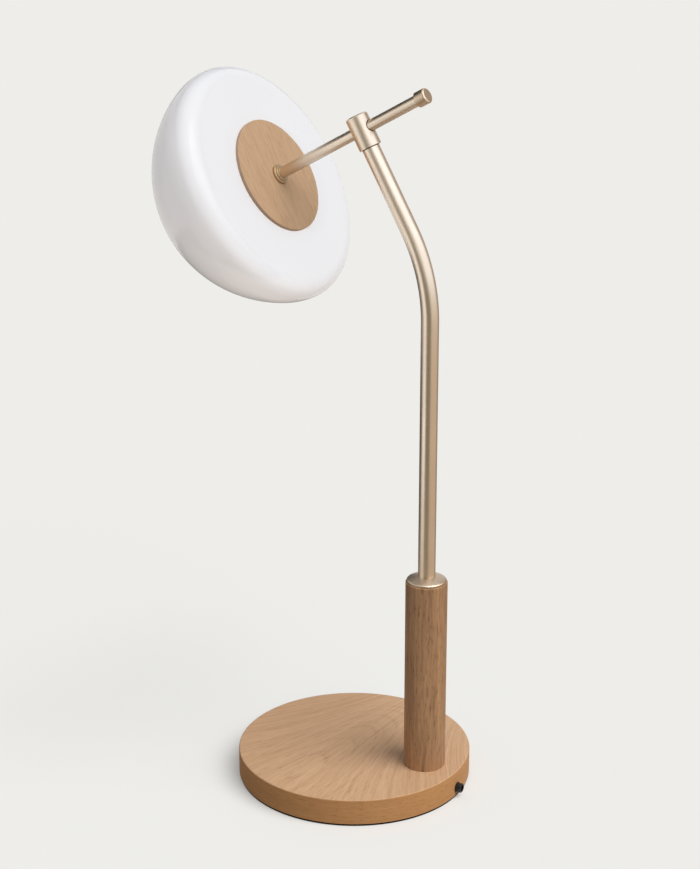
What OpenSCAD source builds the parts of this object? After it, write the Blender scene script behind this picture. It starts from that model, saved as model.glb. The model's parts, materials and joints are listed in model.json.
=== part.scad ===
// Table lamp: oak base and column, bent brass stem, and a brass arm that turns and slides in a
// tee on top of the stem. The arm carries an oak disc and a closed opal glass globe.
// Millimetres. The origin is the centre of the foot pad's underside, +Z is up, and the lamp
// faces -Y.

/* [Base] */
// Diameter of the oak base
base_d = 200; // [196:1:240]
// Radius of the base's rounded upper rim
base_edge_r = 1.2; // [0.5:0.1:3]
// Thickness of the foot pad
pad_h = 2; // [1:0.1:4]
// How far the foot pad stands back from the rim
pad_inset = 0.6; // [0.4:0.1:4]
// Thickness of the oak above the pocket
base_skin = 10; // [9:0.5:16]
// Width of the oak ring around the pocket
base_ring_w = 15; // [13:0.5:16]
// Thickness of the steel cover under the pocket
cover_t = 1.5; // [1.2:0.1:3]
// Thickness of the steel counterweight
weight_t = 10; // [9:0.5:16]

/* [Cord gland] */
// Diameter of the gland's nose
gland_d = 8; // [7.5:0.1:9]
// Bore for the cord
gland_bore_d = 5.4; // [4:0.1:5.6]
// Length of the nose outside the base
gland_nose_l = 5; // [3:0.5:10]

/* [Column] */
// Diameter of the oak column
column_d = 35; // [32:0.5:40]
// Height of the oak column
column_h = 168; // [120:1:200]
// Distance from the base's rear rim to the column's axis
column_inset = 31.5; // [30:0.5:45]
// Radius of the column's rounded upper edge
column_edge_r = 1; // [0.4:0.1:1.4]
// Diameter of the brass collar
collar_d = 33; // [28:0.5:36]
// Height of the collar's rim
collar_rim_h = 2; // [1.2:0.1:3]
// Rise of the collar from its rim to the stem
collar_rise = 2.5; // [1:0.1:5]

/* [Stem] */
// Outer diameter of the stem
stem_d = 14.5; // [14:0.1:15.5]
// Wall of the stem
stem_wall = 1.2; // [0.8:0.1:1.3]
// Depth of the stem's foot in the column
stem_foot_l = 20; // [15:1:30]
// Height at which the stem begins to bend
bend_start = 413; // [360:1:450]
// Radius of the bend, on the stem's centreline
bend_r = 150; // [80:1:200]
// Angle of the bend
bend_angle = 29.4; // [15:0.1:40]
// Straight length from the bend to the arm's axis
stem_reach = 86; // [60:1:140]
// Diameter of the threaded tie tube through the column
tie_d = 10; // [9:0.1:10.2]

/* [Tee joint] */
// Diameter of the tee
tee_d = 18.5; // [18:0.1:24]
// Height of the tee above the arm's axis
tee_above = 12; // [9:0.5:16]
// Length of the tee below the arm's axis
tee_below = 15; // [14.5:0.5:20]
// Radius of the tee's rounded upper edge
tee_edge_r = 1.6; // [0.5:0.1:2.5]
// Half of the land that stops the swivel, in degrees
stop_half_angle = 10; // [5:1:30]

/* [Arm] */
// Diameter of the arm rod
rod_d = 9.2; // [8.8:0.1:9.8]
// Wall of the arm rod
rod_wall = 1.5; // [1.3:0.1:1.8]
// Distance from the stem's axis to the oak disc
arm_front = 88; // [80:1:120]
// Distance from the stem's axis to the end cap
arm_rear = 56; // [45:1:80]
// Diameter of the end cap
cap_d = 12.6; // [12:0.1:16]
// Length of the end cap
cap_l = 9.5; // [8.5:0.5:14]
// Radius of the end cap's rounded edge
cap_edge_r = 1.6; // [0.5:0.1:2]
// Diameter of the flange against the disc
flange_d = 16; // [14.5:0.5:22]

/* [Head] */
// Diameter of the oak disc
disc_d = 96; // [94:1:120]
// Thickness of the oak disc
disc_t = 3; // [2.5:0.1:5]
// Diameter of the glass globe
shade_d = 202; // [190:1:230]
// Depth of the globe's dome, in front of its widest circle
dome_depth = 84; // [70:0.5:92]
// Radius of the globe's rear shoulder
shoulder_r = 14; // [8:0.5:25]
// Wall of the glass
glass_t = 3; // [2.5:0.1:4]
// Diameter of the opening in the globe's back
neck_d = 80; // [76:1:84]

/* [Light unit] */
// Diameter of the heat sink
sink_d = 70; // [66:1:74]
// Thickness of the heat sink
sink_h = 8; // [6:0.5:12]
// Diameter of the circuit board
board_d = 64; // [62:1:66]
// Light-emitting chips on the outer ring
outer_leds = 12; // [6:1:18]
// Light-emitting chips on the inner ring
inner_leds = 6; // [3:1:8]

/* [Fits] */
// Gap on the radius where two fixed pieces meet
fit_gap = 0.05; // [0.02:0.01:0.1]
// Gap on the radius where a piece turns or slides
run_gap = 0.05; // [0.02:0.01:0.09]

/* [Hidden] */
$fn = 120;
through = 1;

// Base
base_r = base_d / 2;
column_offset = base_r - column_inset;
cover_top = pad_h + cover_t;
weight_gap = 0.5;
pocket_h = weight_gap + weight_t;
pocket_top = cover_top + pocket_h;
base_top = pocket_top + base_skin;
pocket_r = base_r - base_ring_w;
ledge_w = 7;
cover_r = pocket_r + ledge_w;
cover_screws_n = 6;
cover_screw_r = pocket_r + ledge_w / 2;
wood_screw_d = 3;
wood_screw_head_d = 5.6;
wood_screw_head_h = 0.9;
wood_screw_l = 9;
weight_rim_gap = 1;
weight_bottom = cover_top + weight_gap;
weight_screw_d = 4;
weight_screw_head_d = 7;
weight_screw_head_h = 2.4;
weight_screw_bite = 6;
weight_screw_r = pocket_r - 23;
weight_screw_spots = [for (a = [-90, -11, 191]) weight_screw_r * [cos(a), sin(a)]];
bay = [88, 30];
bay_y = 26;
driver = [56, 26, pocket_h - 1.5];
driver_x = -14;
terminal = [18, 14, pocket_h - 2.5];
terminal_x = 32;
notch_w = 32;
notch_y = column_offset - notch_w / 2;
channel_w = 10;

// Cord gland
gland_z = cover_top + pocket_h / 2;
gland_thread_d = 7;
gland_flange_d = gland_d + 0.8;
gland_flange_t = 1.2;
gland_seat = 0.4;
gland_nut_h = 3;
gland_nut_af = pocket_h - 0.5;
gland_inner_end = pocket_r - gland_nut_h - 1;
gland_edge_r = 0.8;

// Column
column_top = base_top + column_h;
tie_wall = 2;
tie_hole_gap = 0.2;
foot_bottom = column_top - stem_foot_l;
tie_top = column_top - 2;
dowel_d = 6;
dowel_x = (column_d + tie_d) / 4;
dowel_down = 8;
dowel_up = 13;
washer_d = 21;
washer_t = 1.6;
tie_nut_af = 16;
tie_nut_h = 6;
tie_proud = 0.9;
tie_bottom = pocket_top - washer_t - tie_nut_h - tie_proud;
collar_bevel = 0.6;
collar_step = 0.4;
collar_dome_edge = collar_d / 2 - collar_bevel;
collar_dome_drop =
  (pow(collar_dome_edge, 2) - pow(stem_d / 2, 2) - pow(collar_rise, 2)) / (2 * collar_rise);
collar_dome_r = norm([collar_dome_edge, collar_dome_drop]);

// Stem, and the tee's frame: its origin is where the stem's axis crosses the arm's axis
stem_bore_d = stem_d - 2 * stem_wall;
lap_step = 0.02;
lap_l = 0.5;
tee_y = column_offset - bend_r * (1 - cos(bend_angle)) - stem_reach * sin(bend_angle);
tee_z = bend_start + bend_r * sin(bend_angle) + stem_reach * cos(bend_angle);
thrust_t = 0.55;
thrust_gap = 0.05;
stem_short = tee_below + thrust_t + thrust_gap;
neck_pin_d = stem_d - 2;
bush_d = rod_d + 1.2;
bush_inner = 2.9;
bush_outer = sqrt(pow(tee_d / 2, 2) - pow(bush_d / 2, 2)) - 0.3;
spigot_top = bush_d / 2 + 0.6;
spigot_l = 18;
spigot_bore_d = 5.2;
wire_way_d = 6;
tee_lower_edge_r = 0.4;
grub_d = 4;
grub_flush = 0.2;
dog_d = 2.4;
socket_af = 2;
socket_depth = 1.5;
groove_z = -(spigot_top + tee_below) / 2;
groove_w = dog_d + 0.4;
groove_depth = 1.2;
dog_gap = 0.2;
keyway_depth = 0.8;
cable_d = 4;

// Arm, measured along the rod from the stem's axis towards the globe
rod_bore_d = rod_d - 2 * rod_wall;
cap_wall = 2.5;
cap_bore_l = cap_l - cap_wall;
flange_h = 2.4;
flange_step_d = 13;
flange_step_h = 1.2;
travel_margin = 2.5;
travel_in = arm_front - flange_h - flange_step_h - tee_d / 2 - travel_margin;
travel_out = arm_rear - tee_d / 2 - travel_margin;
slot_w = 3.2;
slot_back = travel_out + slot_w;
slot_l = travel_out + travel_in + 2 * slot_w;

// Head, stacked along the rod
gasket_t = 0.6;
gasket_w = 4;
gasket_clear = 2;
gasket_bore_d = neck_d + 2 * gasket_clear;
gasket_d = gasket_bore_d + 2 * gasket_w;
glass_back = arm_front + disc_t + gasket_t;
shade_r = shade_d / 2;
side_r = 0.52 * dome_depth;
side_x = shade_r - side_r;
front_r = (pow(side_x, 2) + pow(dome_depth, 2) - pow(side_r, 2)) / (2 * (dome_depth - side_r));
widest = glass_back + shoulder_r;
bar_lap = 12;
bar_l = neck_d + 2 * bar_lap;
bar_w = 24;
bar_t = 2;
bar_pad_l = 9;
bar_pad_t = 1;
bar_pad_x = (bar_l - bar_pad_l) / 2;
bar_back = glass_back + glass_t + bar_pad_t;
lock_washer_d = 20;
lock_washer_t = 1.5;
lock_nut_h = 5;
lock_nut_back = bar_back + bar_t + lock_washer_t;
sink_back = lock_nut_back + lock_nut_h + 0.6;
sink_front = sink_back + sink_h;
sink_fins = 16;
sink_slot_w = 2;
sink_hub_d = 26;
board_t = 1.6;
board_front = sink_front + board_t;
board_hole_d = 9;
board_screws_n = 3;
board_screw_r = 18.5;
board_screw_d = 3;
board_screw_head_d = 5.4;
board_screw_head_h = 1.8;
board_screw_l = 5;
led = [3.5, 3.5, 0.8];
outer_led_r = 26;
inner_led_r = 11.5;
connector = [14, 10, 4];

// Colours
oak = [0.80, 0.64, 0.49];
brass = [0.80, 0.69, 0.52];
steel = [0.62, 0.63, 0.65];
black = [0.08, 0.08, 0.08];
opal = [0.95, 0.95, 0.96];
aluminium = [0.78, 0.79, 0.80];
white_plastic = [0.92, 0.92, 0.90];

// Places

module at_column() translate([0, column_offset, 0]) children();

// z runs up the stem and y runs back along the arm
module at_tee() translate([0, tee_y, tee_z]) rotate([bend_angle, 0, 0]) children();

// z runs along the arm towards the globe and y runs up the stem
module along_arm() at_tee() rotate([90, 0, 0]) children();

module at_gland() translate([0, 0, gland_z]) rotate([-90, 0, 0]) children();

module around(count) for (i = [0 : count - 1]) rotate([0, 0, i * 360 / count]) children();

// Shapes

// A cylinder from one height to another
module post(d, low, high) translate([0, 0, low]) cylinder(d = d, h = high - low);

module ring(d, bore, low, high) difference() {
  post(d, low, high);
  post(bore, low - through, high + through);
}

module hex(af, low, high) translate([0, 0, low]) cylinder(d = af / cos(30), h = high - low, $fn = 6);

module block(size, low) translate([-size.x / 2, -size.y / 2, low]) cube(size);

// A round piece with its upper rim rounded
module soft_top(d, low, high, r) translate([0, 0, low]) rotate_extrude() {
  square([d / 2, high - low - r]);
  square([d / 2 - r, high - low]);
  translate([d / 2 - r, high - low - r]) intersection() {
    circle(r);
    square(r);
  }
}

// A round bar along the stem's line, from a height in the column to just short of the arm. The
// leaning end is a hair wider than the bend, so that the two lap cleanly.
module stem_run(d, bottom, short) {
  at_column() post(d, bottom, bend_start);
  translate([0, column_offset - bend_r, bend_start]) rotate([90, 0, 90])
    rotate_extrude(angle = bend_angle) translate([bend_r, 0]) circle(d = d);
  at_tee() post(d + lap_step, -stem_reach - lap_l, -short);
}

// Half of the globe's outline: a flat back, a round shoulder and a dome of two arcs that meet
// on the line through their centres
module globe_half(skin) {
  flat = shade_r - shoulder_r;
  front_y = dome_depth - front_r;
  lean = atan2(-front_y, side_x);
  meet = [front_r * cos(lean), front_y + front_r * sin(lean)];
  translate([0, -shoulder_r + skin]) square([flat, shoulder_r - skin]);
  intersection() {
    translate([flat, 0]) circle(shoulder_r - skin);
    translate([flat, -shoulder_r]) square(shoulder_r);
  }
  intersection() {
    translate([side_x, 0]) circle(side_r - skin);
    square(shade_r);
  }
  intersection() {
    translate([0, front_y]) circle(front_r - skin);
    polygon([[0, 0], [side_x, 0], meet, meet + [0, shade_r], [0, dome_depth]]);
  }
}

// A screw with a countersunk head, its head's face at z = 0 and its point up
module wood_screw() color(steel) {
  cylinder(d1 = wood_screw_head_d, d2 = wood_screw_d, h = wood_screw_head_h);
  cylinder(d = wood_screw_d, h = wood_screw_l);
}

// A grub screw with a dog point, along +X from its socket end to the dog's tip
module dog_screw(head_x, shoulder_x, tip_x) color(steel) rotate([0, 90, 0]) {
  difference() {
    post(grub_d - 2 * fit_gap, head_x, shoulder_x);
    hex(socket_af, head_x - through, head_x + socket_depth);
  }
  post(dog_d, shoulder_x, tip_x);
}

// Base

module foot_pad() color(black) post(base_d - 2 * pad_inset, 0, pad_h);

module base_cover() color(steel) difference() {
  post(2 * (cover_r - fit_gap), pad_h, cover_top);
  around(cover_screws_n) translate([cover_screw_r, 0, pad_h]) {
    cylinder(
      d1 = wood_screw_head_d + 2 * fit_gap, d2 = wood_screw_d + 2 * fit_gap, h = wood_screw_head_h
    );
    cylinder(d = wood_screw_d + 2 * fit_gap, h = cover_t + through);
  }
}

module cover_screws() around(cover_screws_n) translate([cover_screw_r, 0, pad_h]) wood_screw();

module base_disc() color(oak) difference() {
  soft_top(base_d, pad_h, base_top, base_edge_r);
  post(2 * pocket_r, pad_h - through, pocket_top);
  post(2 * cover_r, pad_h - through, cover_top);
  around(cover_screws_n) translate([cover_screw_r, 0, 0])
    post(wood_screw_d + 2 * fit_gap, pad_h, pad_h + wood_screw_l + fit_gap);
  for (spot = weight_screw_spots) translate(spot)
    post(weight_screw_d + 2 * fit_gap, pad_h, pocket_top + weight_screw_bite + fit_gap);
  at_gland() {
    post(gland_thread_d + 2 * fit_gap, pocket_r - through, base_r + through);
    post(gland_flange_d + 2 * fit_gap, base_r - gland_seat, base_r + through);
    hex(gland_nut_af + 2 * fit_gap, pocket_r - gland_nut_h, pocket_r);
  }
  at_column() {
    post(tie_d + 2 * tie_hole_gap, pad_h, base_top + through);
    for (side = [-1, 1]) translate([side * dowel_x, 0, 0])
      post(dowel_d + 2 * fit_gap, base_top - dowel_down - fit_gap, base_top + through);
  }
}

module counterweight() color(steel) difference() {
  post(2 * (pocket_r - weight_rim_gap), weight_bottom, pocket_top);
  translate([0, bay_y, 0]) block([bay.x, bay.y, pocket_top + through], 0);
  translate([-notch_w / 2, notch_y, 0]) cube([notch_w, base_r, pocket_top + through]);
  translate([-channel_w / 2, bay_y, 0]) cube([channel_w, base_r, pocket_top + through]);
  for (spot = weight_screw_spots) translate(spot) {
    post(weight_screw_d + 2 * fit_gap, 0, pocket_top + through);
    post(weight_screw_head_d + 1, 0, weight_bottom + weight_screw_head_h);
  }
}

module weight_screws() color(steel) for (spot = weight_screw_spots) translate(spot) {
  post(weight_screw_head_d, weight_bottom, weight_bottom + weight_screw_head_h);
  post(weight_screw_d, weight_bottom, pocket_top + weight_screw_bite);
}

module led_driver() color(white_plastic)
  translate([driver_x, bay_y, 0]) block(driver, pocket_top - driver.z);

module terminal_block() color(white_plastic)
  translate([terminal_x, bay_y, 0]) block(terminal, pocket_top - terminal.z);

// Cord gland

module cord_gland() color(black) at_gland() difference() {
  union() {
    post(gland_thread_d, gland_inner_end, base_r);
    post(gland_flange_d, base_r - gland_seat, base_r - gland_seat + gland_flange_t);
    soft_top(gland_d, base_r, base_r + gland_nose_l, gland_edge_r);
  }
  post(gland_bore_d, gland_inner_end - through, base_r + gland_nose_l + through);
}

module gland_nut() color(black) at_gland() difference() {
  hex(gland_nut_af, pocket_r - gland_nut_h - fit_gap, pocket_r - fit_gap);
  post(gland_thread_d + 2 * fit_gap, 0, base_r);
}

// Column

module column_dowels() color(oak) at_column() for (side = [-1, 1]) translate([side * dowel_x, 0, 0])
  post(dowel_d, base_top - dowel_down, base_top + dowel_up);

module oak_column() color(oak) at_column() difference() {
  soft_top(column_d, base_top, column_top, column_edge_r);
  post(tie_d + 2 * tie_hole_gap, base_top - through, column_top);
  post(stem_d + 2 * fit_gap, foot_bottom, column_top + through);
  for (side = [-1, 1]) translate([side * dowel_x, 0, 0])
    post(dowel_d + 2 * fit_gap, base_top - through, base_top + dowel_up + fit_gap);
}

module tie_tube() color(steel) at_column() ring(tie_d, tie_d - 2 * tie_wall, tie_bottom, tie_top);

module tie_washer() color(steel) at_column()
  ring(washer_d, tie_d + 2 * fit_gap, pocket_top - washer_t, pocket_top);

module tie_nut() color(steel) at_column() difference() {
  hex(tie_nut_af, pocket_top - washer_t - tie_nut_h, pocket_top - washer_t);
  post(tie_d + 2 * fit_gap, 0, base_top);
}

// A small step under the rim leaves a shadow line above the oak
module collar() color(brass) at_column() translate([0, 0, column_top]) difference() {
  rotate_extrude() {
    square([collar_d / 2 - collar_step, collar_step]);
    translate([0, collar_step]) square([collar_d / 2, collar_rim_h - collar_bevel - collar_step]);
    translate([0, collar_rim_h - collar_bevel]) polygon([
      [0, 0],
      [collar_d / 2, 0],
      [collar_dome_edge, collar_bevel],
      [0, collar_bevel]
    ]);
    intersection() {
      translate([0, collar_rim_h - collar_dome_drop]) circle(collar_dome_r);
      translate([0, collar_rim_h]) square([collar_dome_edge, collar_rise]);
    }
  }
  post(stem_d + 2 * fit_gap, -through, collar_rim_h + collar_rise + through);
}

// Stem

module stem_tube() color(brass) difference() {
  stem_run(stem_d, foot_bottom, stem_short);
  stem_run(stem_bore_d, foot_bottom - through, stem_short - through);
}

module stem_foot() color(brass) at_column()
  ring(stem_bore_d - 2 * fit_gap, tie_d + 2 * fit_gap, foot_bottom, column_top);

// The spigot stands in the stem's top. A groove round its neck takes the swivel screw's dog,
// and a land left across the groove stops the swivel.
module swivel_spigot() color(brass) at_tee() difference() {
  union() {
    post(stem_bore_d - 2 * fit_gap, -stem_short - spigot_l, -stem_short);
    post(neck_pin_d, -stem_short, -spigot_top);
  }
  post(spigot_bore_d, -stem_short - spigot_l - through, -spigot_top + through);
  rotate([0, 0, stop_half_angle]) rotate_extrude(angle = 360 - 2 * stop_half_angle)
    translate([neck_pin_d / 2 - groove_depth, groove_z - groove_w / 2])
    square([groove_depth + through, groove_w]);
}

module thrust_washer() color(black) at_tee()
  ring(stem_d, neck_pin_d + 2 * fit_gap, -stem_short, -stem_short + thrust_t);

module stem_cable() color(black) stem_run(cable_d, tie_bottom, spigot_top);

// Tee

module tee_sleeve() color(brass) at_tee() difference() {
  union() {
    soft_top(tee_d, 0, tee_above, tee_edge_r);
    mirror([0, 0, 1]) soft_top(tee_d, 0, tee_below, tee_lower_edge_r);
  }
  post(neck_pin_d + 2 * run_gap, -tee_below - through, -spigot_top + 0.3);
  post(wire_way_d, -tee_below, 0);
  rotate([90, 0, 0]) post(bush_d + 2 * fit_gap, -tee_d, tee_d);
  for (z = [0, groove_z]) translate([0, 0, z]) rotate([0, 90, 0]) post(grub_d, -tee_d, 0);
}

module rod_bushes() color(brass) along_arm() for (side = [0, 1]) mirror([0, 0, side])
  ring(bush_d, rod_d + 2 * run_gap, bush_inner, bush_outer);

module swivel_screw() at_tee() translate([0, 0, groove_z]) dog_screw(
  -tee_d / 2 + grub_flush, -neck_pin_d / 2 - dog_gap, -neck_pin_d / 2 + groove_depth - dog_gap
);

module guide_screw() at_tee() dog_screw(
  -tee_d / 2 + grub_flush, -bush_d / 2, -rod_d / 2 + keyway_depth - dog_gap
);

// Arm

// The slot lets the wires in from the stem, and the keyway takes the guide screw's dog, so the
// rod slides in the tee without rolling.
module arm_rod() color(brass) along_arm() difference() {
  ring(rod_d, rod_bore_d, -arm_rear - cap_bore_l, sink_front - 0.5);
  translate([-slot_w / 2, -rod_d, -slot_back]) cube([slot_w, rod_d, slot_l]);
  translate([-rod_d, -groove_w / 2, -slot_back]) cube([rod_d / 2 + keyway_depth, groove_w, slot_l]);
}

module end_cap() color(brass) along_arm() mirror([0, 0, 1]) difference() {
  soft_top(cap_d, arm_rear, arm_rear + cap_l, cap_edge_r);
  post(rod_d + 2 * fit_gap, arm_rear - through, arm_rear + cap_bore_l + fit_gap);
}

module rod_flange() color(brass) along_arm() difference() {
  translate([0, 0, arm_front]) mirror([0, 0, 1]) {
    soft_top(flange_d, 0, flange_h, 0.6);
    soft_top(flange_step_d, flange_h, flange_h + flange_step_h, 0.4);
  }
  post(rod_d + 2 * fit_gap, 0, arm_front + through);
}

// Head

module oak_disc() color(oak) along_arm() difference() {
  translate([0, 0, arm_front + disc_t]) mirror([0, 0, 1]) soft_top(disc_d, 0, disc_t, 0.5);
  post(rod_d + 2 * fit_gap, 0, arm_front + disc_t + through);
}

module disc_gasket() color(black) along_arm()
  ring(gasket_d, gasket_bore_d, arm_front + disc_t, glass_back);

module glass_globe() color(opal) along_arm() translate([0, 0, widest]) difference() {
  rotate_extrude($fn = 180) difference() {
    globe_half(0);
    globe_half(glass_t);
  }
  post(neck_d, -shoulder_r - through, -shoulder_r + glass_t + through);
}

module bridge_bar() color(steel) along_arm() difference() {
  block([bar_l, bar_w, bar_t], bar_back);
  post(rod_d + 2 * fit_gap, bar_back - through, bar_back + bar_t + through);
}

module bridge_pads() color(black) along_arm() for (side = [-1, 1]) translate([side * bar_pad_x, 0, 0])
  block([bar_pad_l, bar_w, bar_pad_t], bar_back - bar_pad_t);

module lock_washer() color(steel) along_arm()
  ring(lock_washer_d, rod_d + 2 * fit_gap, bar_back + bar_t, lock_nut_back);

module lock_nut() color(steel) along_arm() difference() {
  hex(tie_nut_af, lock_nut_back, lock_nut_back + lock_nut_h);
  post(rod_d + 2 * fit_gap, lock_nut_back - through, lock_nut_back + lock_nut_h + through);
}

module heat_sink() color(aluminium) along_arm() difference() {
  post(sink_d, sink_back, sink_front);
  post(rod_d + 2 * fit_gap, sink_back - through, sink_front + through);
  around(sink_fins) translate([sink_hub_d / 2, -sink_slot_w / 2, sink_back - through])
    cube([sink_d, sink_slot_w, sink_h / 2 + through]);
  around(board_screws_n) translate([board_screw_r, 0, 0])
    post(board_screw_d + 2 * fit_gap, sink_front - board_screw_l, sink_front + through);
}

module led_board() color(white_plastic) along_arm() difference() {
  post(board_d, sink_front, board_front);
  post(board_hole_d, sink_front - through, board_front + through);
  around(board_screws_n) translate([board_screw_r, 0, 0])
    post(board_screw_d + 2 * fit_gap, sink_front - through, board_front + through);
}

module board_screws() color(steel) along_arm() around(board_screws_n) translate([board_screw_r, 0, 0]) {
  post(board_screw_d, board_front - board_screw_l, board_front);
  post(board_screw_head_d, board_front, board_front + board_screw_head_h);
}

module led_chips() color("gold") along_arm() {
  around(outer_leds) translate([outer_led_r, 0, 0]) block(led, board_front);
  around(inner_leds) translate([inner_led_r, 0, 0]) block(led, board_front);
}

module wire_connector() color(white_plastic) along_arm() block(connector, board_front);

module arm_cable() color(black) along_arm() post(cable_d, wire_way_d, board_front);

foot_pad();
base_cover();
cover_screws();
base_disc();
counterweight();
weight_screws();
led_driver();
terminal_block();
cord_gland();
gland_nut();
column_dowels();
oak_column();
tie_tube();
tie_washer();
tie_nut();
collar();
stem_tube();
stem_foot();
swivel_spigot();
thrust_washer();
stem_cable();
tee_sleeve();
rod_bushes();
swivel_screw();
guide_screw();
arm_rod();
end_cap();
rod_flange();
oak_disc();
disc_gasket();
glass_globe();
bridge_bar();
bridge_pads();
lock_washer();
lock_nut();
heat_sink();
led_board();
board_screws();
led_chips();
wire_connector();
arm_cable();
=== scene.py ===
# %% [markdown]
# # Dressing a table lamp
# The lamp comes from CAD as a set of exact solids: an oak base and column, a bent brass stem, and
# an arm with an opal globe that turns and slides in a tee. CAD solids are right in size but bare to
# look at. In this lesson each piece that shows is modelled again with soft edges and smooth shading,
# every finish gets a procedural material, and the whole is put in a small studio.

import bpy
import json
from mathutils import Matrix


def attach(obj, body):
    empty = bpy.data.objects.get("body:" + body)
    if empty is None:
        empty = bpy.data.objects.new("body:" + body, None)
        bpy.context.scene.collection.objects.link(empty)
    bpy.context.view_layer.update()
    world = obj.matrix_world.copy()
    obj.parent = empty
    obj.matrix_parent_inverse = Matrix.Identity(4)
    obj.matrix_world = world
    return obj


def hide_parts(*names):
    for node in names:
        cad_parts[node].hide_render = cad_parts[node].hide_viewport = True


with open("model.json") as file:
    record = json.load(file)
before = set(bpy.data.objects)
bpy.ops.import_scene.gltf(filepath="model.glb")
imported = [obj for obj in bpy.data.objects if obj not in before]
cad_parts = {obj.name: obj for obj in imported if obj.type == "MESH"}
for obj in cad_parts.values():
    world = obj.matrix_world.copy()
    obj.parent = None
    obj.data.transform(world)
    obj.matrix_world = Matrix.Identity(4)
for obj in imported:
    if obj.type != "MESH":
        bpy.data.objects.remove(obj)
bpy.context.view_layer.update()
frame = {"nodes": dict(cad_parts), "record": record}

# %% [markdown]
# ## The camera
# The photograph is taken from behind the lamp, from the right and a little above. Its eye and focal
# length were worked out from the ellipses of the base and the globe, so the camera is placed by
# numbers and turned towards one point on the lamp. A camera looks along its own -Z.

# %% Camera
import json
import math

import bpy
from mathutils import Matrix, Vector

MM = 0.001
SENSOR_MM, LENS_MM = 36, 84.7
eye = Vector((1388.8, 778.2, 859.0)) * MM
aim = Vector((1.8, -3.2, 308.4)) * MM
bpy.ops.object.select_all(action="DESELECT")
bpy.ops.object.camera_add(location=eye, rotation=(aim - eye).to_track_quat("-Z", "Y").to_euler())
camera = bpy.context.object
camera.data.sensor_fit = "VERTICAL"
camera.data.sensor_height = SENSOR_MM
camera.data.lens = LENS_MM
camera.data.dof.use_dof = False
bpy.context.scene.camera = camera
print("camera is", round((aim - eye).length, 3), "m from its aim")

# %% [markdown]
# ## Wiring nodes in code
# A material is a small network. Two helpers keep the wiring short: one adds a node and fills or
# links its inputs, and one starts a node group, which is a piece of network that several materials
# can share with their own values.


# %% Helpers for nodes
def add_node(tree, kind, inputs=None, **settings):
    node = tree.nodes.new(kind)
    for key, value in settings.items():
        setattr(node, key, value)
    for key, value in (inputs or {}).items():
        if isinstance(value, bpy.types.NodeSocket):
            tree.links.new(value, node.inputs[key])
        else:
            node.inputs[key].default_value = value
    return node


def math_node(tree, operation, first, second=0.0, third=0.0):
    inputs = {0: first, 1: second, 2: third}
    return add_node(tree, "ShaderNodeMath", inputs, operation=operation).outputs[0]


def scaled(tree, vector, scale):
    inputs = {0: vector, 1: scale}
    return add_node(tree, "ShaderNodeVectorMath", inputs, operation="MULTIPLY").outputs[0]


def noise(tree, vector, scale, detail=2.0, roughness=0.5):
    inputs = {"Vector": scaled(tree, vector, scale), "Scale": 1.0, "Detail": detail, "Roughness": roughness}
    return add_node(tree, "ShaderNodeTexNoise", inputs)


def remap(tree, value, low, high, to_low=0.0, to_high=1.0):
    inputs = {"Value": value, "From Min": low, "From Max": high, "To Min": to_low, "To Max": to_high}
    return add_node(tree, "ShaderNodeMapRange", inputs).outputs["Result"]


def mixed(tree, factor, first, second, blend="MIX"):
    inputs = {"Factor": factor, "A": first, "B": second}
    node = tree.nodes.new("ShaderNodeMix")
    node.data_type = "RGBA"
    node.blend_type = blend
    sockets = {"Factor": node.inputs[0], "A": node.inputs[6], "B": node.inputs[7]}
    for key, value in inputs.items():
        if isinstance(value, bpy.types.NodeSocket):
            tree.links.new(value, sockets[key])
        else:
            sockets[key].default_value = value
    return node.outputs[2]


def new_group(name, inputs, outputs):
    group = bpy.data.node_groups.new(name, "ShaderNodeTree")
    for label, kind, value in inputs:
        socket = group.interface.new_socket(label, in_out="INPUT", socket_type=kind)
        socket.default_value = value
    for label, kind in outputs:
        group.interface.new_socket(label, in_out="OUTPUT", socket_type=kind)
    return group, group.nodes.new("NodeGroupInput").outputs, group.nodes.new("NodeGroupOutput").inputs


def new_material(name):
    material = bpy.data.materials.new(name)
    material.use_nodes = True
    tree = material.node_tree
    tree.nodes.clear()
    shader = tree.nodes.new("ShaderNodeBsdfPrincipled")
    output = tree.nodes.new("ShaderNodeOutputMaterial")
    tree.links.new(shader.outputs["BSDF"], output.inputs["Surface"])
    return material, tree, shader


def object_place(tree, turn=(0.0, 0.0, 0.0), shift=(0.0, 0.0, 0.0)):
    coordinates = tree.nodes.new("ShaderNodeTexCoord").outputs["Object"]
    inputs = {"Vector": coordinates, "Rotation": turn, "Location": shift}
    return add_node(tree, "ShaderNodeMapping", inputs).outputs["Vector"]


def bump(tree, shader, height, strength, distance):
    inputs = {"Height": height, "Strength": strength, "Distance": distance * MM}
    node = add_node(tree, "ShaderNodeBump", inputs)
    tree.links.new(node.outputs["Normal"], shader.inputs["Normal"])


# %% [markdown]
# ## Oak
# A board is a slice of a log, and its figure is where the slice cuts the growth rings. So the group
# below does the same: it measures the distance from the log's axis, counts rings in it, and lets a
# slow noise bend the log. Where the slice runs at a slant through the rings they show as arches.
# Fine fibres, and the open pores that oak has in its early wood, lie along the grain on top. On some
# boards the fibres spread like a fan, so one input draws them together along the grain.

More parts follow.
